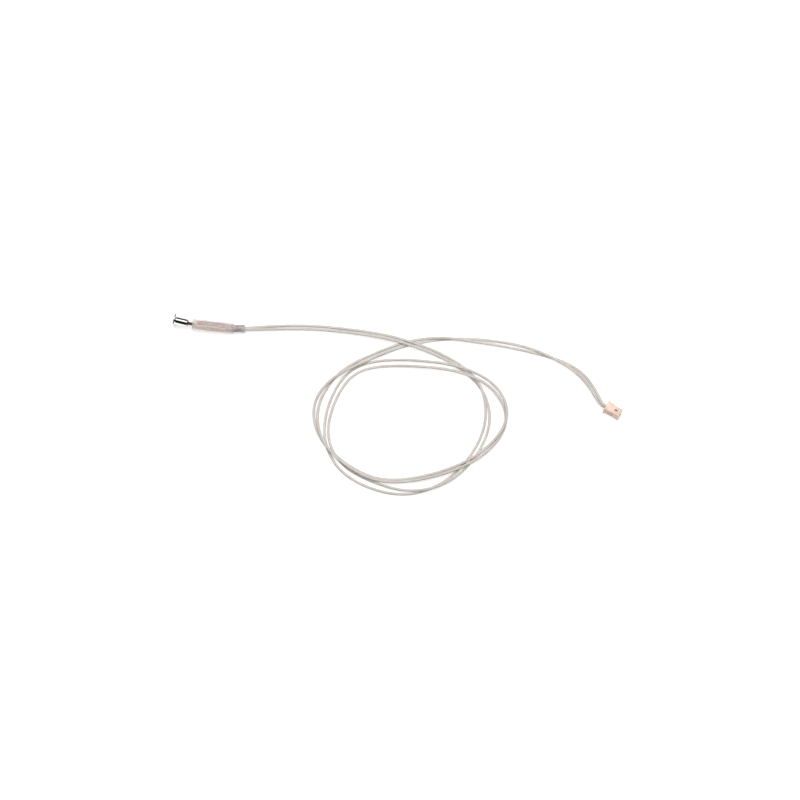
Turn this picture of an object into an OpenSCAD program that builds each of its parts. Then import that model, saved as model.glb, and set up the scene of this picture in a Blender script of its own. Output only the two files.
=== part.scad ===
// Two-wire sensor probe: a flanged metal cap over a glass-bead element, a translucent
// sleeve over the two splices, a pair of loosely twisted insulated leads laid out in two
// loops, and a two-way crimp plug. Millimetres, +Z up.
// Origin: centre of the flat sensing face. +X runs back along the cap's axis.

/* [Sensing cap] */
// Diameter of the contact flange at the tip
flange_d = 7.2; // [6:0.1:9]
// Thickness of the contact flange
flange_t = 0.5; // [0.3:0.05:0.8]
// Outside diameter of the cap's barrel
barrel_d = 3.7; // [3.5:0.1:4.4]
// Length of the cap from its sensing face to its open end
barrel_l = 6.2; // [5.6:0.1:10]
// Wall of the barrel
cap_wall = 0.35; // [0.25:0.05:0.5]
// Chamfer at the barrel's open end
cap_chamfer = 0.2; // [0.05:0.05:0.2]

/* [Sensing element] */
// Width of the square ceramic chip
chip_w = 0.6; // [0.4:0.05:0.7]
// Thickness of the ceramic chip, along X
chip_t = 0.4; // [0.2:0.05:0.5]
// Diameter of the glass bead round the chip
bead_d = 1.6; // [1.4:0.1:1.8]
// Length of the glass bead, rounded nose included
bead_l = 2.4; // [2:0.1:3]
// Space between the cap's end wall and the bead
bead_gap = 0.3; // [0.1:0.05:0.5]
// Diameter of each bare element leg
leg_d = 0.2; // [0.15:0.01:0.24]
// Distance between the two legs' centres in the bead and neck
leg_pitch = 0.5; // [0.48:0.01:0.52]
// Outside diameter of the fine insulating tube on each leg
leg_tube_d = 0.44; // [0.4:0.01:0.46]
// Outside diameter of the neck tube round both legs
neck_d = 1.4; // [1.3:0.05:1.7]
// Wall of the neck tube
neck_wall = 0.15; // [0.1:0.01:0.16]
// Length of neck tube held in the potting
neck_grip = 1.4; // [0.8:0.1:1.6]
// Length from the cap's open end to the bend in the neck
neck_gap = 1.2; // [0.8:0.1:2]
// Depth of the potting below the cap's open end
potting_drop = 0.4; // [0.1:0.1:0.7]
// Length of neck tube inside the long sleeve
neck_reach = 0.8; // [0.4:0.1:1]
// Length of leg tube past the neck tube's end
leg_tube_reach = 0.4; // [0.2:0.1:0.6]
// Length in which the two legs spread out to their splices
leg_spread = 2.2; // [1.8:0.1:2.6]

/* [Sleeves] */
// Outside diameter of the long sleeve
outer_d = 4.7; // [4.6:0.1:5.8]
// Wall of the long sleeve
outer_wall = 0.35; // [0.2:0.05:0.4]
// Length of the long sleeve
outer_l = 19.2; // [18.6:0.2:26]
// Distance from the neck's bend to the long sleeve's front end
outer_start = 1; // [0.6:0.1:2]
// Turn of the long sleeve from the cap's axis, seen from above
outer_turn = 9; // [0:1:12]
// Diameter of the rear sleeve's waist
rear_d = 3.55; // [3.3:0.05:3.6]
// Extra diameter where the rear sleeve flares at its end
rear_flare = 0.25; // [0:0.05:0.4]
// Wall of the rear sleeve
rear_wall = 0.25; // [0.15:0.05:0.3]
// Length of rear sleeve behind the long sleeve
rear_l = 5.2; // [4:0.2:8]
// Length of rear sleeve inside the long sleeve
rear_grip = 1.4; // [0.8:0.1:1.6]
// Turn of the rear sleeve from the long sleeve, seen from above
rear_turn = 6; // [0:1:6]

/* [Splices] */
// Distance between the two splices' centres
splice_pitch = 1.9; // [1.85:0.05:1.9]
// Distance from the neck's bend to the front of the splices
splice_start = 8.4; // [7:0.2:9]
// Length of each crimped splice
splice_l = 4; // [3:0.2:4.4]
// Outside diameter of each crimped splice
splice_d = 1.3; // [1.2:0.05:1.35]
// Depth of the crimp marks round a splice
crimp_depth = 0.12; // [0.05:0.01:0.15]
// Width of a crimp mark at its floor
crimp_w = 0.4; // [0.3:0.05:0.5]
// Outside diameter of the shrink tube over each splice
shrink_d = 1.75; // [1.7:0.01:1.8]
// Length of shrink tube in front of a splice, over the element leg
shrink_front = 5.4; // [0.6:0.2:5.4]
// Length of shrink tube behind a splice, over the lead
shrink_back = 4; // [0.6:0.2:4]

/* [Leads] */
// Outside diameter of each lead's insulation
wire_d = 1.25; // [1.2:0.01:1.27]
// Diameter of the stranded conductor in each lead
core_d = 0.62; // [0.4:0.01:0.7]
// Least space between two leads that lie across each other
wire_gap = 0.08; // [0.05:0.01:0.1]

/* [Plug] */
// Length of the plug housing, wire end to mating end
plug_l = 7.6; // [7.2:0.1:9]
// Width of the housing across its ways
plug_w = 3.8; // [3.6:0.1:5.4]
// Height of the housing along its row of ways
plug_h = 5.8; // [5.2:0.1:6.6]
// Distance between the two ways
pin_pitch = 2; // [1.9:0.05:2.1]
// How far the wire-end collar stands out on each side
collar_out = 0.8; // [0.3:0.1:1]
// Thickness of the wire-end collar
collar_t = 0.6; // [0.4:0.1:0.8]
// How far the guide rib stands out of the side
rib_out = 0.5; // [0.3:0.1:0.8]
// Distance from the wire end to the front of the guide rib
rib_l = 3.2; // [2:0.1:4]
// Height of the guide rib
rib_h = 4; // [3:0.1:5]
// Width and height of each contact cavity
cavity_w = 1.65; // [1.6:0.05:1.7]
// Wall at the mating end, in front of the contacts
front_wall = 0.9; // [0.6:0.1:1.1]
// Width of the square hole that a mating pin enters
pin_hole = 0.9; // [0.7:0.05:1]
// Length of each side window, where a contact's lance catches
window_l = 2.8; // [2:0.1:3]
// Height of each side window, and width of the top one
window_h = 0.8; // [0.5:0.1:1]
// How far each side window reaches in front of the back of a contact's box
window_reach = 0.6; // [0.2:0.1:1]
// Length of the top window
top_window_l = 1.2; // [0.8:0.1:1.6]

/* [Contacts] */
// Sheet thickness of the contacts
contact_t = 0.18; // [0.12:0.01:0.2]
// Width and height of the contact's box
box_w = 1.3; // [1.2:0.05:1.45]
// Length of the contact's box
box_l = 2.6; // [2:0.1:3]
// Length of the crimp on the bare strands
strand_crimp_l = 1; // [0.6:0.1:1.2]
// Length of the crimp on the insulation
grip_crimp_l = 0.9; // [0.6:0.1:1.2]
// Length of bare strands past their crimp
strand_show = 0.5; // [0.2:0.1:0.6]
// Length of the lance that holds a contact in its cavity
lance_l = 1.2; // [0.8:0.1:1.4]
// Angle at which the lance stands out
lance_angle = 10; // [6:1:14]

/* [Hidden] */

$fn = 64;
eps = 0.01;
// A piece that slides into a bore leaves this much all round.
slide_gap = 0.02;
wire_sides = 8;
neck_sides = 32;
rings_per_station = 2;

floor_z = -flange_d / 2;
bore_d = barrel_d - 2 * cap_wall;
bead_start = cap_wall + bead_gap;
potting_end = barrel_l - potting_drop;
neck_x = barrel_l + neck_gap;
neck_end = outer_start + neck_reach;
leg_tube_end = neck_end + leg_tube_reach;
leg_spread_end = leg_tube_end + leg_spread;
outer_end = outer_start + outer_l;
// The flange holds the tip up, and the long sleeve's rear end rests on the surface.
outer_tilt = asin((flange_d - outer_d) / 2 / outer_end);
rear_bore_d = rear_d - 2 * rear_wall;
splice_end = splice_start + splice_l;
splice_bore_d = core_d + 2 * slide_gap;
shrink_bore_d = max(splice_d, wire_d) + 2 * slide_gap;

// The plug lies on its side, with its two ways one above the other.
plug_place = [203, 8.7, floor_z + plug_h / 2];
plug_turn = -18;
box_front = plug_l - front_wall;
box_back = box_front - box_l;
wire_stop = 2;
strand_end = wire_stop + strand_crimp_l + strand_show;
crimp_gap = 0.1;
top_window_start = box_back + 0.4;
// Shares of the rear sleeve's length where its flare starts and ends
flare_from = 0.55;
flare_to = 0.85;
// Shares of a splice's length where its two crimp marks lie
crimp_places = [0.3, 0.7];

// Free part of the pair's route over the surface. Each row holds
// [x, y, spread, roll, lift]: the pair's centre, the distance between the two wires where
// they lie side by side, the angle that the pair has rolled through (at 90 degrees lead a
// lies on lead b, at 180 it is on the right), and the height of the lower wire above the surface.
ROUTE = [
    [49, 10, 1.7, 180, 0.1],
    [65, 14, 1.6, 180, 0],
    [82, 16, 1.5, 180, 0.8],
    [99, 17, 1.5, 180, 2.5],
    [116, 16, 1.5, 180, 1.5],
    [132, 13, 1.5, 190, 0],
    [147, 5, 1.8, 270, 0],
    [154, -12, 2.2, 360, 0],
    [150, -30, 2.2, 360, 0],
    [141, -45, 1.5, 400, 0],
    [126, -54, 1.8, 500, 0],
    [109, -54, 3.6, 540, 0],
    [92, -50, 2.6, 540, 0],
    [81, -37, 1.4, 540, 0],
    [80, -19, 2.4, 540, 0],
    [85, -1, 2.4, 540, 0],
    [102, 6, 3, 540, 0],
    [119, 9, 2.8, 540, 1.2],
    [136, 10, 2.4, 540, 3],
    [153, 6, 2, 550, 2.4],
    [163, -8, 1.6, 630, 0.5],
    [156, -25, 1.5, 700, 1.6],
    [144, -37, 1.5, 730, 1.8],
    [128, -46, 1.5, 745, 0.8],
    [111, -52, 1.5, 760, 0.6],
    [95, -48, 1.5, 775, 1.4],
    [80, -40, 1.6, 810, 1.6],
    [72, -23, 2.2, 900, 0.4],
    [79, -6, 2.2, 1010, 1.3],
    [92, 5, 1.8, 1080, 1.5],
    [105, 16, 1.5, 1080, 0],
    [121, 23, 1.8, 1150, 0],
    [138, 26, 1.8, 1240, 0],
    [155, 28, 2, 1260, 0],
    [172, 27, 1.8, 1350, 0],
    [190, 23, 1.8, 1440, 0.6],
];
// Length in which the leads run straight on from their splices
straight_run = 5;
// Places along the rear sleeve that the pair passes through
rear_run = [-rear_grip, rear_l - 1, rear_l + 3];
// Roll of the pair at the splices, at those three places, and at the three by the plug
first_roll = 180;
rear_rolls = [150, 130, 145];
plug_rolls = [1490, 1530, 1530];
// Places along the plug's axis where the two leads come into line with it and stop
plug_run = [-3, -1, wire_stop];
// Both leads lift a little where the pair lies flat, which rounds the start of each rise.
rise_round = 0.15;

// Places along the sleeves and the plug, as points in the part's frame

function turn_z(p, a) = [p.x * cos(a) - p.y * sin(a), p.x * sin(a) + p.y * cos(a), p.z];
function tilt_y(p, a) = [p.x * cos(a) + p.z * sin(a), p.y, p.z * cos(a) - p.x * sin(a)];
function in_outer(p) = [neck_x, 0, 0] + turn_z(tilt_y(p, outer_tilt), outer_turn);
function in_rear(p) = in_outer([outer_end, 0, 0] + turn_z(p, rear_turn));
function in_plug(p) = plug_place + turn_z(p, plug_turn);

// Straight back along the cap's axis to the neck's bend, then along the long sleeve
function neck_path(from_x, to_u, y) = [[from_x, y, 0], [neck_x, y, 0], in_outer([to_u, y, 0])];

// A station is [x, y, lift, spread, rise, roll]; rise is the height of one lead over the
// other where they are stacked. paired() sets the lift that puts the pair's middle at p.
close_rise = wire_d + wire_gap;
function rise_share(x) = (x + sqrt(x * x + rise_round * rise_round)) / 2;
function mean_rise(roll) =
    (rise_share(sin(roll)) + rise_share(-sin(roll))) / 2 - rise_share(-1);
function paired(p, spread, rise, roll) =
    [p.x, p.y, p.z - floor_z - wire_d / 2 - rise * mean_rise(roll), spread, rise, roll];
STATIONS = concat(
    [for (u = [0, straight_run / 2, straight_run])
        paired(in_outer([splice_end + u, 0, 0]), splice_pitch, close_rise, first_roll)],
    [for (k = [0 : 2])
        paired(in_rear([rear_run[k], 0, 0]), close_rise, close_rise, rear_rolls[k])],
    [for (r = ROUTE) [r[0], r[1], r[4], r[2], close_rise, r[3]]],
    [for (k = [0 : 2])
        paired(in_plug([plug_run[k], 0, 0]), close_rise, pin_pitch, plug_rolls[k])]);
last = len(STATIONS) - 1;

// Uniform cubic B-spline through the stations, straight at both ends
function station(i) = i < 0 ? 2 * STATIONS[0] - STATIONS[1]
    : i > last ? 2 * STATIONS[last] - STATIONS[last - 1] : STATIONS[i];
function weights(t) =
    [pow(1 - t, 3), 3 * t * t * (t - 2) + 4, 3 * t * (1 + t - t * t) + 1, t * t * t] / 6;
function slopes(t) =
    [-(1 - t) * (1 - t), t * (3 * t - 4), 1 + t * (2 - 3 * t), t * t] / 2;
function blend(i, w) =
    w[0] * station(i - 1) + w[1] * station(i) + w[2] * station(i + 1) + w[3] * station(i + 2);

// Centre of one lead's section: side is 1 for lead a and -1 for lead b.
function lead_point(i, t, side) =
    let (q = blend(i, weights(t)), d = blend(i, slopes(t)), across = norm([d.x, d.y]))
    let (offset = side * q[3] / 2 * cos(q[5]) / across)
    [q.x - d.y * offset, q.y + d.x * offset,
        floor_z + wire_d / 2 + q[2]
            + (q[4] * rise_share(side * sin(q[5])) - q[4] * rise_share(-1))];
// The first point is moved onto the splice's end, and the others follow the stations.
function lead_path(side) = concat(
    [in_outer([splice_end, -side * splice_pitch / 2, 0])],
    [for (i = [0 : last - 1], k = [0 : rings_per_station - 1]) if (i + k > 0)
        lead_point(i, k / rings_per_station, side)],
    [lead_point(last - 1, 1, side)]);

// Rod of flat sides swept along a path
module swept_rod(path, d, sides = wire_sides) {
    n = len(path);
    rings = [for (i = [0 : n - 1])
        let (along = path[min(i + 1, n - 1)] - path[max(i - 1, 0)])
        let (t = along / norm(along), s = cross([0, 0, 1], t) / norm(cross([0, 0, 1], t)))
        let (u = cross(t, s))
        for (k = [0 : sides - 1])
            path[i] + d / 2 * (cos(360 * k / sides) * s + sin(360 * k / sides) * u)];
    walls = [for (i = [0 : n - 2], k = [0 : sides - 1])
        let (a = i * sides + k, b = i * sides + (k + 1) % sides)
        [a, a + sides, b + sides, b]];
    front = [for (k = [0 : sides - 1]) k];
    back = [for (k = [sides - 1 : -1 : 0]) (n - 1) * sides + k];
    polyhedron(points = rings, faces = concat([front, back], walls), convexity = 10);
}

// Frames of the long sleeve, the rear sleeve and the plug

module outer_frame() translate([neck_x, 0, 0]) rotate([0, outer_tilt, outer_turn]) children();
module rear_frame() outer_frame() translate([outer_end, 0, 0]) rotate([0, 0, rear_turn]) children();
module plug_frame() translate(plug_place) rotate([0, 0, plug_turn]) children();

// Round rod along X from x = a to x = b
module rod_x(a, b, d) translate([a, 0, 0]) rotate([0, 90, 0]) cylinder(h = b - a, d = d);

module bead_form(d) {
    nose = bead_start + d / 2;
    rod_x(nose, bead_start + bead_l, d);
    translate([nose, 0, 0]) sphere(d = d);
}

module chip_form()
    translate([bead_start + (bead_d - chip_t) / 2, -chip_w / 2, -chip_w / 2])
        cube([chip_t, chip_w, chip_w]);

chip_back = bead_start + (bead_d + chip_t) / 2;

module sensing_cap() color("#d9dadd") difference() {
    rotate([0, 90, 0]) rotate_extrude() polygon([
        [0, 0], [flange_d / 2, 0], [flange_d / 2, flange_t], [barrel_d / 2, flange_t],
        [barrel_d / 2, barrel_l - cap_chamfer], [barrel_d / 2 - cap_chamfer, barrel_l],
        [0, barrel_l]]);
    rod_x(cap_wall, barrel_l + 1, bore_d);
}

module potting() color("#6b5a4c") difference() {
    rod_x(cap_wall, potting_end, bore_d);
    bead_form(bead_d);
    rod_x(potting_end - neck_grip, potting_end + 1, neck_d);
    for (y = [-1, 1] * leg_pitch / 2)
        translate([0, y, 0]) rod_x(bead_start + bead_l - eps, potting_end, leg_tube_d);
}

module glass_bead() color("#c98f5a") difference() {
    bead_form(bead_d);
    chip_form();
    for (y = [-1, 1] * leg_pitch / 2)
        translate([0, y, 0]) rod_x(chip_back, bead_start + bead_l + 1, leg_d);
}

module element_chip() color("#2e2e33") chip_form();

// One element leg: from the chip, through the neck, then out to its splice
module element_leg(side) color("#c8c8cc") {
    wide = -side * splice_pitch / 2;
    swept_rod(concat(
        neck_path(chip_back, leg_tube_end, -side * leg_pitch / 2),
        [for (u = [leg_spread_end, splice_start + splice_l / 2 - eps]) in_outer([u, wide, 0])]), leg_d);
}
module element_leg_a() element_leg(1);
module element_leg_b() element_leg(-1);

module leg_tube(side) color("#d7a85c") difference() {
    y = -side * leg_pitch / 2;
    swept_rod(neck_path(bead_start + bead_l, leg_tube_end, y), leg_tube_d);
    swept_rod(neck_path(bead_start + bead_l - 1, leg_tube_end + 1, y), leg_d);
}
module leg_tube_a() leg_tube(1);
module leg_tube_b() leg_tube(-1);

module neck_tube() color("#4a3b3c") difference() {
    neck_start = potting_end - neck_grip;
    swept_rod(neck_path(neck_start, neck_end, 0), neck_d, neck_sides);
    swept_rod(neck_path(neck_start - 1, neck_end + 1, 0), neck_d - 2 * neck_wall, neck_sides);
}

module outer_sleeve() color("#dccfc8") outer_frame() difference() {
    rod_x(outer_start, outer_end, outer_d);
    rod_x(outer_start - 1, outer_end + 1, outer_d - 2 * outer_wall);
}

// The rear sleeve shrinks to a waist and flares again at its cut end.
module rear_sleeve() color("#aaa3a3") rear_frame() difference() {
    rotate([0, 90, 0]) rotate_extrude() polygon([
        [0, -rear_grip], [rear_d / 2, -rear_grip], [rear_d / 2, rear_l * flare_from],
        [(rear_d + rear_flare) / 2, rear_l * flare_to], [(rear_d + rear_flare) / 2, rear_l],
        [0, rear_l]]);
    rod_x(-rear_grip - 1, rear_l + 1, rear_bore_d);
}

// Crimped splice: a short ferrule with two rings pressed into it
module splice(side) color("#c9c9cd") outer_frame() translate([0, -side * splice_pitch / 2, 0])
    difference() {
        translate([splice_start, 0, 0]) rotate([0, 90, 0]) rotate_extrude() polygon(concat(
            [[0, 0], [splice_d / 2, 0]],
            [for (c = crimp_places * splice_l, k = [[-1, 0], [-0.5, 1], [0.5, 1], [1, 0]])
                [splice_d / 2 - crimp_depth * k[1], c + crimp_w * k[0]]],
            [[splice_d / 2, splice_l], [0, splice_l]]));
        rod_x(splice_start - 1, splice_end + 1, splice_bore_d);
    }
module splice_a() splice(1);
module splice_b() splice(-1);

module shrink_tube(side) color(side > 0 ? "#e2c2a6" : "#a08a8e") outer_frame()
    translate([0, -side * splice_pitch / 2, 0]) difference() {
        rod_x(splice_start - shrink_front, splice_end + shrink_back, shrink_d);
        rod_x(splice_start - shrink_front - 1, splice_end + shrink_back + 1, shrink_bore_d);
    }
module shrink_tube_a() shrink_tube(1);
module shrink_tube_b() shrink_tube(-1);

// The bared ends of one lead's conductor, in its splice and in its contact
module splice_strands(side) color("#c8bba9") outer_frame()
    translate([0, -side * splice_pitch / 2, 0]) rod_x(splice_start + splice_l / 2, splice_end, core_d);
module plug_strands(side) color("#c8bba9") plug_frame()
    translate([0, 0, side * pin_pitch / 2]) rod_x(wire_stop, strand_end, core_d);
module splice_strands_a() splice_strands(1);
module splice_strands_b() splice_strands(-1);
module plug_strands_a() plug_strands(1);
module plug_strands_b() plug_strands(-1);

module lead_a() color("#cfcac4") swept_rod(lead_path(1), wire_d);
module lead_b() color("#c8c3bd") swept_rod(lead_path(-1), wire_d);

module plug_housing() color("#f3dcc6") plug_frame() difference() {
    union() {
        translate([0, -plug_w / 2, -plug_h / 2]) cube([plug_l, plug_w, plug_h]);
        translate([0, -plug_w / 2 - collar_out, -plug_h / 2])
            cube([collar_t, plug_w + 2 * collar_out, plug_h]);
        translate([0, -plug_w / 2, -rib_h / 2]) cube([rib_l, plug_w + rib_out, rib_h]);
    }
    for (z = [-1, 1] * pin_pitch / 2) translate([0, 0, z]) {
        translate([-1, -cavity_w / 2, -cavity_w / 2]) cube([box_front + 1, cavity_w, cavity_w]);
        translate([0, -pin_hole / 2, -pin_hole / 2]) cube([plug_l + 1, pin_hole, pin_hole]);
        translate([box_back - window_l + window_reach, -plug_w, -window_h / 2])
            cube([window_l, plug_w, window_h]);
    }
    translate([top_window_start, -window_h / 2, pin_pitch / 2]) cube([top_window_l, window_h, plug_h]);
}

// Crimp contact: a box for the mating pin, a lance, a spine, and crimps on the bare
// strands and on the insulation
module contact(side) color("#8c6e50") plug_frame() translate([0, 0, side * pin_pitch / 2]) {
    inner = box_w - 2 * contact_t;
    spine_y = cavity_w / 2 - slide_gap - contact_t;
    grip_d = cavity_w - 2 * slide_gap;
    difference() {
        union() {
            translate([box_back, -box_w / 2, -box_w / 2]) cube([box_l, box_w, box_w]);
            translate([wire_stop - grip_crimp_l, spine_y, -box_w / 4])
                cube([box_front - wire_stop + grip_crimp_l, contact_t, box_w / 2]);
            rod_x(wire_stop + 2 * crimp_gap, wire_stop + 2 * crimp_gap + strand_crimp_l, grip_d);
            rod_x(wire_stop - grip_crimp_l, wire_stop - crimp_gap, grip_d);
        }
        translate([box_back - eps, -inner / 2, -inner / 2]) cube([box_l + 1, inner, inner]);
        rod_x(0, wire_stop + crimp_gap, wire_d + 2 * slide_gap);
        rod_x(0, box_back, core_d + 2 * slide_gap);
    }
    translate([box_back, -box_w / 2 + contact_t, -window_h / 4]) rotate([0, 0, 180 + lance_angle])
        cube([lance_l, contact_t, window_h / 2]);
}
module contact_a() contact(1);
module contact_b() contact(-1);

sensing_cap();
potting();
glass_bead();
element_chip();
element_leg_a();
element_leg_b();
leg_tube_a();
leg_tube_b();
neck_tube();
outer_sleeve();
rear_sleeve();
splice_a();
splice_b();
shrink_tube_a();
shrink_tube_b();
splice_strands_a();
splice_strands_b();
plug_strands_a();
plug_strands_b();
lead_a();
lead_b();
plug_housing();
contact_a();
contact_b();
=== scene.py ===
# %% [markdown]
# # A two-wire sensor probe
# The probe is a flanged metal cap on a pair of insulated leads, with a crimp plug at the far
# end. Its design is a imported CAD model, which loads here as a fixed frame. Everything made
# below sits in that frame, in metres, with +X running back along the cap's axis and the
# origin at the centre of the cap's flat sensing face.

# %% Load the frame
import math

import bmesh
import bpy
import numpy as np
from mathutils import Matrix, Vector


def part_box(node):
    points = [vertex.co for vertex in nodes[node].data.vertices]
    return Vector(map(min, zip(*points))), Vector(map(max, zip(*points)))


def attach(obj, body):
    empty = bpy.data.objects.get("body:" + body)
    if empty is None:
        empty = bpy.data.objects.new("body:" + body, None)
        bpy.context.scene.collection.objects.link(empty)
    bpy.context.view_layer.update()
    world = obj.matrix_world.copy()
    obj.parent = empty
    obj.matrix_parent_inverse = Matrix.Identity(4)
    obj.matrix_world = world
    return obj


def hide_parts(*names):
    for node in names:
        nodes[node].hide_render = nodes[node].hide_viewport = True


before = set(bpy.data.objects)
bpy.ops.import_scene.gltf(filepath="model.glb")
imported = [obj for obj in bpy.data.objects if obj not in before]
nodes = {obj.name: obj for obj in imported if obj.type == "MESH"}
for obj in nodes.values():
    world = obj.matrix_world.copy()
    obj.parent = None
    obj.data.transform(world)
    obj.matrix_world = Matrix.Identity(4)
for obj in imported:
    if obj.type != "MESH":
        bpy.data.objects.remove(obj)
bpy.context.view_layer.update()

scene = bpy.context.scene

# %% [markdown]
# ## Driving sizes
# The frame gives the cap's size and the surface that the object lies on. The other sizes
# are the same named values as in the CAD design, here in metres.

# %% Sizes and places
mm = 0.001
cap_low, cap_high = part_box("sensing_cap")
flange_r = (cap_high.y - cap_low.y) / 2
cap_l = cap_high.x
floor_z = -flange_r
wire_r = 0.625 * mm
core_r = 0.31 * mm
neck_gap = 1.2 * mm
neck_x = cap_l + neck_gap
outer_start, outer_l, outer_r = 1 * mm, 19.2 * mm, 2.35 * mm
outer_end = outer_start + outer_l
outer_turn = math.radians(9)
outer_tilt = math.asin((flange_r - outer_r) / outer_end)
rear_turn, rear_grip, rear_l = math.radians(6), 1.4 * mm, 5.2 * mm
splice_start, splice_l, splice_pitch = 8.4 * mm, 4 * mm, 1.9 * mm
splice_end = splice_start + splice_l
plug_h, pin_pitch, wire_stop = 5.8 * mm, 2 * mm, 2 * mm
# The plug's frame starts at its wire end, in the middle of its section.
plug_place = np.array([203 * mm, 8.7 * mm, floor_z + plug_h / 2])
plug_turn = math.radians(-18)
print("floor at", floor_z, "sleeve tilt", math.degrees(outer_tilt))

# %% [markdown]
# ## Three local frames
# The long sleeve hangs from a bend in the neck, the rear sleeve from the long sleeve's end,
# and the plug lies at the end of the leads. Each frame is a turn about Z, after a tilt about
# Y for the sleeves, so whole arrays of points can be carried through it at once.


# %% Local frames
def turned(points, angle):
    """Points turned about Z by angle: x' = x cos - y sin, y' = x sin + y cos."""
    p = np.asarray(points, float)
    c, s = math.cos(angle), math.sin(angle)
    return np.stack([p[..., 0] * c - p[..., 1] * s, p[..., 0] * s + p[..., 1] * c, p[..., 2]], -1)


def tilted(points, angle):
    """Points turned about Y by angle: x' = x cos + z sin, z' = z cos - x sin."""
    p = np.asarray(points, float)
    c, s = math.cos(angle), math.sin(angle)
    return np.stack([p[..., 0] * c + p[..., 2] * s, p[..., 1], p[..., 2] * c - p[..., 0] * s], -1)


def in_outer(points):
    """From the long sleeve's frame to the part's."""
    return turned(tilted(points, outer_tilt), outer_turn) + [neck_x, 0, 0]


def in_rear(points):
    """From the rear sleeve's frame to the part's."""
    return in_outer(turned(points, rear_turn) + [outer_end, 0, 0])


def in_plug(points):
    """From the plug's frame to the part's."""
    return turned(points, plug_turn) + plug_place


print("long sleeve ends at", in_outer([outer_end, 0, 0]))

# %% [markdown]
# ## Camera
# The camera comes before the leads, because the leads are measured against its view. A long
# lens nearly overhead keeps the two loops close to their plan shape, while the sides of the
# plug still show.

# %% Camera
camera_turn = math.radians(14.4)
camera_rise = math.radians(72)
camera_distance = 0.869
look_at = np.array([0.1107, -0.0107, floor_z])
reach = np.array([0, -math.cos(camera_rise), math.sin(camera_rise)]) * camera_distance
camera_data = bpy.data.cameras.new("camera")
camera_data.lens = 85
camera_data.sensor_width = 36
camera = bpy.data.objects.new("camera", camera_data)
camera.location = look_at + turned(reach, camera_turn)
camera.rotation_euler = (math.pi / 2 - camera_rise, 0, camera_turn)
scene.collection.objects.link(camera)
scene.camera = camera
print("camera at", tuple(camera.location))

# %% [markdown]
# ## The path of the leads
# The two leads are a loosely twisted pair that lies on the surface. Following each lead by
# hand would let them cut through each other, so the pair has one route. Each row gives the
# pair's centre, the spread between the two wires, the angle that the pair has rolled
# through, and how far the lower wire is lifted to pass over another stretch.

# %% Route of the pair, in millimetres and degrees
route = np.array([
    # x, y, spread, roll, lift
    [49, 10, 1.7, 180, 0.1],
    [65, 14, 1.6, 180, 0],
    [82, 16, 1.5, 180, 0.8],
    [99, 17, 1.5, 180, 2.5],
    [116, 16, 1.5, 180, 1.5],
    [132, 13, 1.5, 190, 0],
    [147, 5, 1.8, 270, 0],
    [154, -12, 2.2, 360, 0],
    [150, -30, 2.2, 360, 0],
    [141, -45, 1.5, 400, 0],
    [126, -54, 1.8, 500, 0],
    [109, -54, 3.6, 540, 0],
    [92, -50, 2.6, 540, 0],
    [81, -37, 1.4, 540, 0],
    [80, -19, 2.4, 540, 0],
    [85, -1, 2.4, 540, 0],
    [102, 6, 3, 540, 0],
    [119, 9, 2.8, 540, 1.2],
    [136, 10, 2.4, 540, 3],
    [153, 6, 2, 550, 2.4],
    [163, -8, 1.6, 630, 0.5],
    [156, -25, 1.5, 700, 1.6],
    [144, -37, 1.5, 730, 1.8],
    [128, -46, 1.5, 745, 0.8],
    [111, -52, 1.5, 760, 0.6],
    [95, -48, 1.5, 775, 1.4],
    [80, -40, 1.6, 810, 1.6],
    [72, -23, 2.2, 900, 0.4],
    [79, -6, 2.2, 1010, 1.3],
    [92, 5, 1.8, 1080, 1.5],
    [105, 16, 1.5, 1080, 0],
    [121, 23, 1.8, 1150, 0],
    [138, 26, 1.8, 1240, 0],
    [155, 28, 2, 1260, 0],
    [172, 27, 1.8, 1350, 0],
    [190, 23, 1.8, 1440, 0.6],
])
wire_gap = 0.08 * mm
close_rise = 2 * wire_r + wire_gap
rise_round = 0.15
# Length that the leads run straight on from their splices, and their roll there
straight_run, first_roll = 5 * mm, 180
# Places along the rear sleeve and the plug that the pair passes, each with its roll
rear_run = [(-rear_grip, 150), (rear_l - 1 * mm, 130), (rear_l + 3 * mm, 145)]
plug_run = [(-3 * mm, 1490), (-1 * mm, 1530), (wire_stop, 1530)]
print("route:", len(route), "points")

# %% [markdown]
# A station is the pair's state at one place: x, y, lift, spread, rise and roll. The stations
# inside the sleeves and the plug are worked out from their frames, so that the leads run
# straight through them. A uniform cubic B-spline then blends all six numbers together,
# which keeps the bends smooth and stops the wires meeting as they roll round each other.


# %% Stations and the spline
def rise_share(x):
    """(x + sqrt(x^2 + e^2)) / 2: nearly x above nought, nearly nought below it."""
    return (x + np.sqrt(x * x + rise_round**2)) / 2


def paired(p, spread, rise, roll):
    """A station whose pair of wires has its middle at point p."""
    lean = math.sin(math.radians(roll))
    middle = (rise_share(lean) + rise_share(-lean)) / 2 - rise_share(-1)
    return [p[0], p[1], p[2] - floor_z - wire_r - rise * middle, spread, rise, roll]


def all_stations():
    """Stations from the splices, through the sleeves and over the surface, to the plug."""
    rows = [
        paired(in_outer([splice_end + u, 0, 0]), splice_pitch, close_rise, first_roll)
        for u in (0, straight_run / 2, straight_run)
    ]
    for u, roll in rear_run:
        rows.append(paired(in_rear([u, 0, 0]), close_rise, close_rise, roll))
    for x, y, spread, roll, lift in route:
        rows.append([x * mm, y * mm, lift * mm, spread * mm, close_rise, roll])
    for u, roll in plug_run:
        rows.append(paired(in_plug([u, 0, 0]), close_rise, pin_pitch, roll))
    return np.array(rows)


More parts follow.
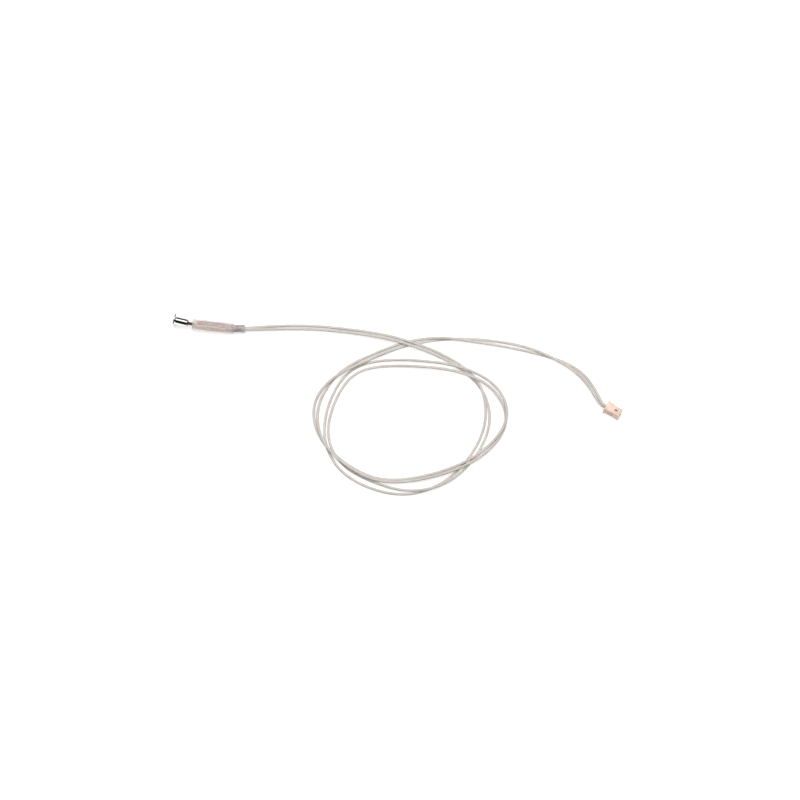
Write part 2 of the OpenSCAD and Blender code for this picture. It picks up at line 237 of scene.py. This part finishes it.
def spline(stations, steps):
    """Uniform cubic B-spline, straight at both ends, and its slope, steps to a station."""
    last = len(stations) - 1
    first_out = 2 * stations[0] - stations[1]
    last_out = 2 * stations[-1] - stations[-2]
    padded = np.vstack([first_out, stations, last_out])
    place = np.linspace(0, last, last * steps + 1)
    index = np.minimum(place.astype(int), last - 1)
    t = (place - index)[:, None]
    weights = np.hstack([(1 - t)**3, 3 * t * t * (t - 2) + 4, 3 * t * (1 + t - t * t) + 1, t**3])
    slopes = np.hstack([-(1 - t)**2, t * (3 * t - 4), 1 + t * (2 - 3 * t), t * t])
    corners = padded[index[:, None] + np.arange(4)]
    value = np.einsum("nk,nkc->nc", weights / 6, corners)
    return value, np.einsum("nk,nkc->nc", slopes / 2, corners)


def lead_line(side, steps=20):
    """Centreline of lead a (side 1) or lead b (side -1): the pair's centre, moved half the
    spread across it times cos(roll), and up by the rise times a rounded sin(roll)."""
    q, slope = spline(all_stations(), steps)
    roll = np.radians(q[:, 5])
    across = np.stack([-slope[:, 1], slope[:, 0]], 1)
    across /= np.linalg.norm(across, axis=1)[:, None]
    flat = q[:, :2] + across * (side * q[:, 3] / 2 * np.cos(roll))[:, None]
    up = q[:, 4] * (rise_share(side * np.sin(roll)) - rise_share(-1.0))
    line = np.column_stack([flat, floor_z + wire_r + q[:, 2] + up])
    line[0] = in_outer([splice_end, -side * splice_pitch / 2, 0])
    return line


def line_length(line):
    """Sum of the distances between neighbouring points."""
    return float(np.linalg.norm(np.diff(line, axis=0), axis=1).sum())


lead_lines = {"a": lead_line(1), "b": lead_line(-1)}
print("lead lengths:", {k: round(line_length(v), 4) for k, v in lead_lines.items()})

# %% [markdown]
# ## Surfaces from grids
# Almost every piece is round in section, so it is a grid of points: one direction runs along
# the piece and the other goes round it. One helper turns such a grid into a mesh.
# Rings that shrink to a point are merged into one vertex there, and the faces are turned to
# point outwards by the sign of the volume that they enclose.


# %% Mesh helpers
def grid_faces(rows, columns, wrap_rows):
    """Quads between neighbouring grid points; columns always wrap round."""
    i = np.arange(rows if wrap_rows else rows - 1)[:, None]
    j = np.arange(columns)[None, :]
    i2, j2 = (i + 1) % rows, (j + 1) % columns
    corners = np.broadcast_arrays(
        i * columns + j, i2 * columns + j, i2 * columns + j2, i * columns + j2)
    return np.stack(corners, -1).reshape(-1, 4)


def enclosed_volume(points, faces):
    """Signed volume inside a closed mesh of quads: a sixth of each face's triple products."""
    a, b, c, d = (points[faces[:, k]] for k in range(4))
    return float((np.cross(b, c) * a).sum() + (np.cross(c, d) * a).sum()) / 6


def grid_piece(name, grid, wrap_rows=False, crease=30):
    """Object from grid[row, column, xyz]. Edges sharper than crease degrees stay sharp."""
    rows, columns = grid.shape[:2]
    points = grid.reshape(-1, 3)
    faces = grid_faces(rows, columns, wrap_rows)
    if enclosed_volume(points, faces) < 0:
        faces = faces[:, ::-1]
    mesh = bpy.data.meshes.new(name)
    mesh.from_pydata(points.tolist(), [], faces.tolist())
    merge_close(mesh)
    mesh.shade_smooth()
    mesh.set_sharp_from_angle(angle=math.radians(crease))
    piece = bpy.data.objects.new(name, mesh)
    scene.collection.objects.link(piece)
    print(name + ":", len(mesh.polygons), "faces")
    return piece


def merge_close(mesh, gap=2e-7):
    """Merges points within gap metres of each other, which closes poles and seams."""
    work = bmesh.new()
    work.from_mesh(mesh)
    bmesh.ops.remove_doubles(work, verts=work.verts, dist=gap)
    work.to_mesh(mesh)
    work.free()


# %% [markdown]
# A turned piece, such as the cap, is a profile carried round the X axis. Real edges are
# never knife sharp, so each corner of a profile is a short arc, which catches the light.


# %% Profiles and turned pieces
def rounded(corners, radii, steps=5):
    """Profile with each corner replaced by a quadratic arc that starts and ends radius away
    from it: (1-t)^2 start + 2t(1-t) corner + t^2 end."""
    p = np.asarray(corners, float)
    made = []
    for k, r in enumerate(radii):
        if r == 0:
            made.append(p[k][None])
            continue
        before, after = p[k - 1] - p[k], p[(k + 1) % len(p)] - p[k]
        start = p[k] + before / np.linalg.norm(before) * r
        end = p[k] + after / np.linalg.norm(after) * r
        t = np.linspace(0, 1, steps)[:, None]
        made.append((1 - t)**2 * start + 2 * t * (1 - t) * p[k] + t * t * end)
    return np.vstack(made)


def lathe(profile, columns):
    """Grid of a profile of (x, radius) carried round the X axis: y = r cos, z = r sin."""
    angle = np.linspace(0, 2 * np.pi, columns, endpoint=False)
    x, r = profile[:, :1], np.broadcast_to(profile[:, 1:2], (len(profile), columns))
    return np.stack([np.broadcast_to(x, r.shape), r * np.cos(angle), r * np.sin(angle)], -1)


# %% [markdown]
# A bent piece, such as a lead, is a circle carried along a line. The circle stands square to
# the line, with its first direction level, so it never twists by itself.


# %% Swept pieces
def sweep(line, radius, columns, spin=0.0, ends=True):
    """Grid of circles along a line. radius is one number or an array [ring, column]; spin
    turns each ring by an angle. With ends, the first and last rings close to a point."""
    along = np.gradient(line, axis=0)
    along /= np.linalg.norm(along, axis=1)[:, None]
    level = np.cross([0, 0, 1], along)
    level /= np.linalg.norm(level, axis=1)[:, None]
    rise = np.cross(along, level)
    angle = np.linspace(0, 2 * np.pi, columns, endpoint=False)[None, :] + np.reshape(spin, (-1, 1))
    angle = np.broadcast_to(angle, (len(line), columns))
    r = np.broadcast_to(radius, angle.shape)[..., None]
    rings = line[:, None] + r * (
        np.cos(angle)[..., None] * level[:, None] + np.sin(angle)[..., None] * rise[:, None])
    if not ends:
        return rings
    point = np.ones((1, columns, 1))
    return np.concatenate([line[:1, None] * point, rings, line[-1:, None] * point])


def resample(line, spacing):
    """The same line with points a set spacing apart."""
    steps = np.linalg.norm(np.diff(line, axis=0), axis=1)
    at = np.r_[0, np.cumsum(steps)]
    want = np.linspace(0, at[-1], int(round(at[-1] / spacing)) + 1)
    return np.stack([np.interp(want, at, line[:, k]) for k in range(3)], 1)


# %% [markdown]
# ## Shaders
# All finishes are node materials on Object coordinates, which are metres here. One helper
# starts a Principled material and sets its even values straight on its sockets. Others add
# a colour that drifts between two tints, a roughness that varies, and a fine bump.


# %% Shader helpers
def finish(name, color, **values):
    """Principled material; each value is named after its socket, with spaces as _."""
    material = bpy.data.materials.new(name)
    material.use_nodes = True
    shader = material.node_tree.nodes["Principled BSDF"]
    shader.inputs["Base Color"].default_value = (*color, 1)
    for key, value in values.items():
        shader.inputs[key.replace("_", " ")].default_value = value
    return material


def noise(material, scale, detail=3.0, stretch=(1, 1, 1)):
    """Noise on Object coordinates, scale in grains to the metre, stretched by axis."""
    tree = material.node_tree
    place = tree.nodes.new("ShaderNodeTexCoord")
    mapping = tree.nodes.new("ShaderNodeMapping")
    mapping.inputs["Scale"].default_value = stretch
    grain = tree.nodes.new("ShaderNodeTexNoise")
    grain.inputs["Scale"].default_value = scale
    grain.inputs["Detail"].default_value = detail
    tree.links.new(place.outputs["Object"], mapping.inputs["Vector"])
    tree.links.new(mapping.outputs["Vector"], grain.inputs["Vector"])
    return grain.outputs["Fac"]


def drift(material, factor, low, high, socket="Base Color", start=0.3, stop=0.7):
    """Ramp from low to high over a factor, into one of the shader's sockets."""
    tree = material.node_tree
    ramp = tree.nodes.new("ShaderNodeValToRGB")
    ramp.color_ramp.elements[0].position = start
    ramp.color_ramp.elements[1].position = stop
    grey = isinstance(low, (int, float))
    ramp.color_ramp.elements[0].color = (low, low, low, 1) if grey else (*low, 1)
    ramp.color_ramp.elements[1].color = (high, high, high, 1) if grey else (*high, 1)
    tree.links.new(factor, ramp.inputs["Fac"])
    tree.links.new(ramp.outputs["Color"], tree.nodes["Principled BSDF"].inputs[socket])


def bump(material, factor, distance, strength=0.5):
    """Bump of a given depth in metres."""
    tree = material.node_tree
    node = tree.nodes.new("ShaderNodeBump")
    node.inputs["Distance"].default_value = distance
    node.inputs["Strength"].default_value = strength
    tree.links.new(factor, node.inputs["Height"])
    tree.links.new(node.outputs["Normal"], tree.nodes["Principled BSDF"].inputs["Normal"])


def wear(piece, material):
    """Puts a finish on a piece."""
    piece.data.materials.clear()
    piece.data.materials.append(material)
    return piece


def settle(piece, *replaced):
    """The piece rides on the one body and stands for these CAD nodes."""
    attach(piece, "root")
    if replaced:
        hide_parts(*replaced)
    return piece


# %% [markdown]
# ## The leads
# Each lead is a stranded conductor in a smooth, milky fluoropolymer skin. The skin is solid
# round the conductor, and lets some light through, so the strands show faintly inside. It is
# one swept tube. The conductor is a second sweep whose section has six lobes that turn
# slowly along it, as twisted strands do, and it runs on bare into the splice and the contact.

# %% Finishes of the leads
skin_finish = finish(
    "fluoropolymer_skin", (0.65, 0.61, 0.57), Roughness=0.5, IOR=1.36,
    Specular_IOR_Level=0.3, Transmission_Weight=0.12, Subsurface_Weight=0.15,
    Subsurface_Scale=0.3 * mm)
drift(skin_finish, noise(skin_finish, 60), (0.61, 0.565, 0.515), (0.69, 0.65, 0.615))
bump(skin_finish, noise(skin_finish, 900), 0.03 * mm, 0.4)
strand_finish = finish("tinned_strands", (0.80, 0.74, 0.67), Metallic=1.0, Roughness=0.4)
drift(strand_finish, noise(strand_finish, 2500), (0.74, 0.66, 0.57), (0.86, 0.82, 0.77))


# %% Skin and conductor of each lead
ring_step, skin_sides, strand_sides = 0.7 * mm, 20, 24
strand_end = wire_stop + 1.5 * mm


def bare_ends(side):
    """Outer ends of the bare conductor: halfway into its splice, and in its contact."""
    y, z = -side * splice_pitch / 2, side * pin_pitch / 2
    front = in_outer(np.array([[splice_start + splice_l / 2, y, 0]]))
    back = in_plug(np.array([[strand_end, 0, z]]))
    return front, back


def strand_section(line, lobes=6, lay=9 * mm, depth=0.1):
    """Radius and spin of twisted strands: r = R (1 - d + d |cos(lobes a / 2)|), turned by
    one full turn for each lay length along the line."""
    angle = np.linspace(0, 2 * np.pi, strand_sides, endpoint=False)
    radius = core_r * (1 - depth + depth * np.abs(np.cos(lobes * angle / 2)))
    at = np.r_[0, np.cumsum(np.linalg.norm(np.diff(line, axis=0), axis=1))]
    return radius[None, :], at / lay * 2 * np.pi


lead_skins = {}
for letter, side in (("a", 1), ("b", -1)):
    line = resample(lead_lines[letter], ring_step)
    skin = grid_piece("lead_skin_" + letter, sweep(line, wire_r, skin_sides))
    lead_skins[letter] = settle(wear(skin, skin_finish), "lead_" + letter)
    front, back = bare_ends(side)
    core_line = resample(np.vstack([front, line, back]), ring_step)
    radius, spin = strand_section(core_line)
    core = grid_piece("conductor_" + letter, sweep(core_line, radius, strand_sides, spin))
    wear(core, strand_finish)
    settle(core, "splice_strands_" + letter, "plug_strands_" + letter)

# %% [markdown]
# ## The cap
# The cap is drawn from sheet and plated: a thin flat flange, a small fold where it meets the
# barrel, and a lightly rolled open end. A profile carried round the axis gives all of it.
# Plated metal looks like its surroundings, so its finish is plain: full metal, low
# roughness, and faint rings from polishing.

# %% Sensing cap
barrel_r, flange_t, cap_wall = 1.85 * mm, 0.5 * mm, 0.35 * mm
bore_r = barrel_r - cap_wall
cap_corners = [
    (0, 0), (0, flange_r), (flange_t, flange_r), (flange_t, barrel_r), (cap_l, barrel_r),
    (cap_l, bore_r), (cap_wall, bore_r), (cap_wall, 0)]
cap_radii = np.array([0, 0.12, 0.12, 0.3, 0.16, 0.08, 0.15, 0]) * mm
cap_profile = rounded(cap_corners, cap_radii, steps=8)
cap = grid_piece("cap_shell", lathe(cap_profile, columns=128), crease=40)
cap_finish = finish("polished_plate", (0.90, 0.89, 0.88), Metallic=1.0, Roughness=0.06)
drift(cap_finish, noise(cap_finish, 700, 4), 0.04, 0.11, "Roughness")
bump(cap_finish, noise(cap_finish, 500, 2, (8, 1, 1)), 0.002 * mm, 0.04)
settle(wear(cap, cap_finish), "sensing_cap")

# %% [markdown]
# ## The neck
# A thin dark shrink tube carries the element's legs out of the cap and bends just behind it.
# Its wall is one sheet of rings: out along the outside, then back along the bore. The ring
# between the two at its front end, inside the cap, is left open.


# %% Tube walls
def tube_wall(line, outer, inner, columns=48, lip=0.06 * mm):
    """Wall round a line: outer rings, then inner rings back. wrap_rows closes its front end
    when it becomes a piece. outer may be an array [ring, column]. The outer rings at each
    end draw in by lip, which rounds the cut edge."""
    outer = np.array(np.broadcast_to(outer, (len(line), columns)))
    inner = np.full((len(line), columns), inner)
    outer[0], outer[-1] = outer[0] - lip, outer[-1] - lip
    rings = sweep(line, outer, columns, ends=False)
    bore = sweep(line, inner, columns, ends=False)
    return np.concatenate([rings, bore[::-1]])


def bent_line(points, steps=8, cut=0.5 * mm):
    """Three points joined by straights, with the middle corner replaced by a curve."""
    a, corner, b = (np.asarray(p, float) for p in points)
    start = corner + (a - corner) / np.linalg.norm(a - corner) * cut
    end = corner + (b - corner) / np.linalg.norm(b - corner) * cut
    t = np.linspace(0, 1, steps)[:, None]
    curve = (1 - t)**2 * start + 2 * t * (1 - t) * corner + t * t * end
    return resample(np.vstack([a, curve, b]), 0.1 * mm)


neck_r, neck_bore_r = 0.7 * mm, 0.55 * mm
# It starts inside the cap, and ends a little way inside the long sleeve, in that frame.
neck_start, neck_end = cap_l - 1.8 * mm, outer_start + 0.8 * mm
neck_line = bent_line([(neck_start, 0, 0), (neck_x, 0, 0), in_outer([neck_end, 0, 0])])
neck_wall = tube_wall(neck_line, neck_r, neck_bore_r, columns=32)
neck = grid_piece("neck_shrink", neck_wall)
neck_finish = finish("dark_shrink", (0.05, 0.028, 0.03), Roughness=0.42)
drift(neck_finish, noise(neck_finish, 1500), (0.035, 0.02, 0.021), (0.08, 0.05, 0.048))
bump(neck_finish, noise(neck_finish, 2500), 0.03 * mm, 0.5)
settle(wear(neck, neck_finish), "neck_tube")

# %% [markdown]
# ## The long sleeve
# The long sleeve is a thin milky tube, cut square. Light passes through it, so the tinted
# tubes over the two splices show as soft bands along it. It has a real wall with a bore, a
# very slight wave in its radius, and a glossy skin.

# %% Long sleeve
outer_bore_r = 2.0 * mm
outer_rings, outer_columns = 90, 64
outer_at = np.linspace(outer_start, outer_end, outer_rings)
outer_line = in_outer(np.column_stack([outer_at, np.zeros((outer_rings, 2))]))


def soft_wave(rings, columns, radius, depth, waves):
    """Radius with a slow wave: r (1 + d sin(2 pi w s + 2 a)), s from 0 to 1 along it."""
    s = np.linspace(0, 1, rings)[:, None]
    angle = np.linspace(0, 2 * np.pi, columns, endpoint=False)[None, :]
    return radius * (1 + depth * (np.sin(2 * np.pi * waves * s + 2 * angle) - 1))


outer_radius = soft_wave(outer_rings, outer_columns, outer_r, depth=0.002, waves=1.5)
outer_wall = tube_wall(outer_line, outer_radius, outer_bore_r, outer_columns)
outer = grid_piece("long_sleeve", outer_wall, wrap_rows=True)
outer_finish = finish(
    "milky_sleeve", (0.92, 0.86, 0.84), Roughness=0.17, IOR=1.26, Transmission_Weight=0.8)
sleeve_grain = noise(outer_finish, 300, 3, (0.4, 1, 1))
drift(outer_finish, sleeve_grain, (0.89, 0.83, 0.82), (0.95, 0.89, 0.87))
bump(outer_finish, noise(outer_finish, 700, 3, (0.5, 1, 1)), 0.01 * mm, 0.25)
settle(wear(outer, outer_finish), "outer_sleeve")

# %% [markdown]
# ## The rear sleeve
# Behind it a shorter sleeve has been shrunk on with hot air. Shrinking leaves it cloudy and
# lumpy, with a waist and a flared end, so its radius is a profile along it times a few waves
# round it. The waves have different counts and phases, so no two lumps match.

# %% Rear sleeve
rear_rings, rear_columns = 60, 56
waist_r, rear_bore_r = 1.775 * mm, 1.525 * mm
flare, squeeze, lump = 0.125 * mm, 0.05 * mm, 0.035 * mm
flare_place, flare_rate, fade_rate = 0.78, 18, 4
rear_at = np.linspace(-rear_grip, rear_l, rear_rings)
rear_line = in_rear(np.column_stack([rear_at, np.zeros((rear_rings, 2))]))


def shrunk_radius():
    """Waist radius, plus a flare that rises as 1 / (1 + exp(-x)), less a squeeze, plus
    lumps: a sum of sines of angle and place s, which is the share of the sleeve's free
    length. Squeeze and lumps fade to nothing inside the long sleeve."""
    s = rear_at[:, None] / rear_l
    angle = np.linspace(0, 2 * np.pi, rear_columns, endpoint=False)[None, :]
    rise = flare / (1 + np.exp(-(s - flare_place) * flare_rate))
    lumps = (
        np.sin(3 * angle + 7 * s) + np.sin(5 * angle - 11 * s + 1) + np.sin(2 * angle + 17 * s + 2))
    fade = np.clip(s * fade_rate, 0, 1)
    return waist_r + rise - squeeze * fade + lump * lumps * fade


rear_wall = tube_wall(rear_line, shrunk_radius(), rear_bore_r, rear_columns)
rear = grid_piece("rear_sleeve_shrunk", rear_wall, wrap_rows=True)
rear_finish = finish(
    "cloudy_sleeve", (0.60, 0.54, 0.53), Roughness=0.28, IOR=1.42, Transmission_Weight=0.45)
drift(rear_finish, noise(rear_finish, 900, 4), (0.36, 0.31, 0.31), (0.84, 0.77, 0.74))
bump(rear_finish, noise(rear_finish, 1200, 3), 0.08 * mm, 0.6)
settle(wear(rear, rear_finish), "rear_sleeve")

# %% [markdown]
# ## The plug housing
# The housing is a box with sharp functional features, so its shape stays as the CAD has it.
# A copy of its mesh is merged into one skin and its edges are beveled, since moulded nylon
# always has a small radius there. The nylon is cream and lets a little light into itself.


# %% Beveled copies of CAD nodes
def beveled_copy(node, name, width, segments=3):
    """A new piece with a CAD node's shape: merged, its flat faces joined, edges beveled."""
    work = bmesh.new()
    work.from_mesh(nodes[node].data)
    bmesh.ops.remove_doubles(work, verts=work.verts, dist=1e-6)
    bmesh.ops.dissolve_limit(
        work, angle_limit=math.radians(1), verts=work.verts, edges=work.edges)
    mesh = bpy.data.meshes.new(name)
    work.to_mesh(mesh)
    work.free()
    piece = bpy.data.objects.new(name, mesh)
    scene.collection.objects.link(piece)
    mesh.shade_smooth()
    edge = piece.modifiers.new("edge", "BEVEL")
    edge.width = width
    edge.segments = segments
    edge.limit_method = "ANGLE"
    edge.angle_limit = math.radians(35)
    edge.harden_normals = True
    print(name + ":", len(mesh.polygons), "faces before its edges are beveled")
    return piece


housing = beveled_copy("plug_housing", "housing_nylon", 0.12 * mm)
housing_finish = finish(
    "cream_nylon", (0.79, 0.60, 0.50), Roughness=0.4, IOR=1.5,
    Subsurface_Weight=0.06, Subsurface_Scale=0.4 * mm)
drift(housing_finish, noise(housing_finish, 350), (0.74, 0.54, 0.44), (0.84, 0.67, 0.57))
bump(housing_finish, noise(housing_finish, 5000), 0.01 * mm, 0.3)
settle(wear(housing, housing_finish), "plug_housing")

# %% [markdown]
# ## The contacts and the inner pieces
# The contacts show through the housing's windows and mouths. They are stamped bronze that
# has dulled with age, and get beveled copies too. The splices, legs and tubes inside the
# sleeves and the cap keep their CAD shapes and take finishes of their own.

# %% Contacts
contact_finish = finish("dull_bronze", (0.80, 0.58, 0.42), Metallic=0.6, Roughness=0.5)
drift(contact_finish, noise(contact_finish, 1800), (0.70, 0.47, 0.32), (0.88, 0.69, 0.53))
for letter in "ab":
    contact = beveled_copy("contact_" + letter, "contact_bronze_" + letter, 0.02 * mm, 2)
    settle(wear(contact, contact_finish), "contact_" + letter)

# %% Finishes of the inner pieces
tin = finish("crimped_tin", (0.74, 0.73, 0.72), Metallic=1.0, Roughness=0.3)
drift(tin, noise(tin, 2000), 0.22, 0.42, "Roughness")
leg = finish("drawn_wire", (0.70, 0.69, 0.68), Metallic=1.0, Roughness=0.28)
drift(leg, noise(leg, 3000), 0.2, 0.4, "Roughness")
film = finish("amber_film", (0.72, 0.42, 0.12), Roughness=0.25, Transmission_Weight=0.4)
drift(film, noise(film, 2500), (0.66, 0.37, 0.10), (0.78, 0.48, 0.16))
peach = finish("peach_tube", (0.95, 0.80, 0.65), Roughness=0.35, Transmission_Weight=0.15)
drift(peach, noise(peach, 500), (0.92, 0.75, 0.58), (0.97, 0.86, 0.73))
mauve = finish("mauve_tube", (0.58, 0.44, 0.47), Roughness=0.35, Transmission_Weight=0.15)
drift(mauve, noise(mauve, 500), (0.52, 0.38, 0.41), (0.64, 0.51, 0.53))
resin = finish("filled_resin", (0.30, 0.23, 0.18), Roughness=0.6)
drift(resin, noise(resin, 3000), (0.24, 0.18, 0.14), (0.37, 0.29, 0.23))
bump(resin, noise(resin, 2500), 0.05 * mm, 0.6)
bead = finish("amber_glass", (0.80, 0.45, 0.22), Roughness=0.05, Transmission_Weight=0.8)
drift(bead, noise(bead, 1500), 0.03, 0.09, "Roughness")
chip = finish("sintered_chip", (0.05, 0.05, 0.06), Roughness=0.5)
drift(chip, noise(chip, 9000), (0.03, 0.03, 0.04), (0.10, 0.10, 0.11))

inner = {
    "splice_a": tin, "splice_b": tin, "element_leg_a": leg, "element_leg_b": leg,
    "leg_tube_a": film, "leg_tube_b": film, "shrink_tube_a": peach, "shrink_tube_b": mauve,
    "potting": resin, "glass_bead": bead, "element_chip": chip}
for node, material in inner.items():
    nodes[node].data.materials.clear()
    nodes[node].data.materials.append(material)
print("inner pieces:", len(inner))

# %% [markdown]
# ## Each lead's line
#
# The plug lies at the far end of both leads. The loop below goes through each lead's skin and its
# centre line, and does nothing more with them.

for letter, skin in lead_skins.items():
    line = lead_lines[letter]

# %% [markdown]
# ## Floor and light
# A white floor and two soft lights overhead keep the scene pale and even. The floor glows a
# little, as a light table does, which keeps the shadows faint. A pale backdrop stands round
# it for low views, and nothing but the camera sees that.
#
# The world is nearly dark, so the polished cap has something dark to reflect between the
# light and the floor: that draws the black bands along its barrel. A light that is strong
# enough to fill the picture would burn a mirror out, so reflections show only a weaker one.

# %% Floor and backdrop
def staged(name, points, faces, base, glow):
    """Pale matt surface that is no part of the object."""
    mesh = bpy.data.meshes.new(name)
    mesh.from_pydata(points, [], faces)
    mesh.materials.append(finish(
        "pale_" + name, (base, base, base), Roughness=0.9,
        Emission_Color=(1, 1, 0.995, 1), Emission_Strength=glow))
    surface = bpy.data.objects.new(name, mesh)
    scene.collection.objects.link(surface)
    return surface


stage_r, wall_h, wall_sides = 2.6, 3.0, 48
around = np.linspace(0, 2 * np.pi, wall_sides, endpoint=False)
foot = np.column_stack([
    stage_r * np.cos(around), stage_r * np.sin(around), np.full(wall_sides, floor_z)])
head = foot + [0, 0, wall_h]
near = np.arange(wall_sides)
far = (near + 1) % wall_sides
wall_faces = np.stack([near, near + wall_sides, far + wall_sides, far], 1)
staged("floor", foot.tolist(), [near.tolist()], base=0.55, glow=0.55)
wall_points = np.vstack([foot, head]).tolist()
backdrop = staged("backdrop", wall_points, wall_faces.tolist(), base=0.0, glow=0.6)
backdrop.visible_glossy = False
backdrop.visible_diffuse = False
backdrop.visible_transmission = False
backdrop.visible_shadow = False
print("stage:", stage_r, "m round")


# %% Lights
def soft_light(name, place, aim, size, watts):
    """Square area light at place, facing aim."""
    data = bpy.data.lights.new(name, "AREA")
    data.shape = "SQUARE"
    data.size = size
    data.energy = watts
    light = bpy.data.objects.new(name, data)
    light.location = place
    toward = np.asarray(aim, float) - np.asarray(place, float)
    yaw = math.atan2(toward[1], toward[0])
    drop = math.atan2(-toward[2], math.hypot(toward[0], toward[1]))
    light.rotation_euler = (math.pi / 2 - drop, 0, yaw - math.pi / 2)
    scene.collection.objects.link(light)
    return light


def straight_up(distance_behind, height):
    """Place at a height above the object, moved behind it as the camera sees it."""
    return look_at + turned([0, distance_behind, height], camera_turn)


# The large light fills; the small one is the only one that shows in reflections.
fill = soft_light("fill", straight_up(0.1, 0.8), straight_up(0.1, 0), size=1.0, watts=9.5)
fill.visible_glossy = False
soft_light("mirrored", straight_up(0.2, 0.75), straight_up(0.2, 0), size=0.55, watts=1.45)
world = bpy.data.worlds.new("world")
world.use_nodes = True
background = world.node_tree.nodes["Background"]
background.inputs["Color"].default_value = (1, 1, 1, 1)
background.inputs["Strength"].default_value = 0.012
scene.world = world
scene.view_settings.view_transform = "Standard"
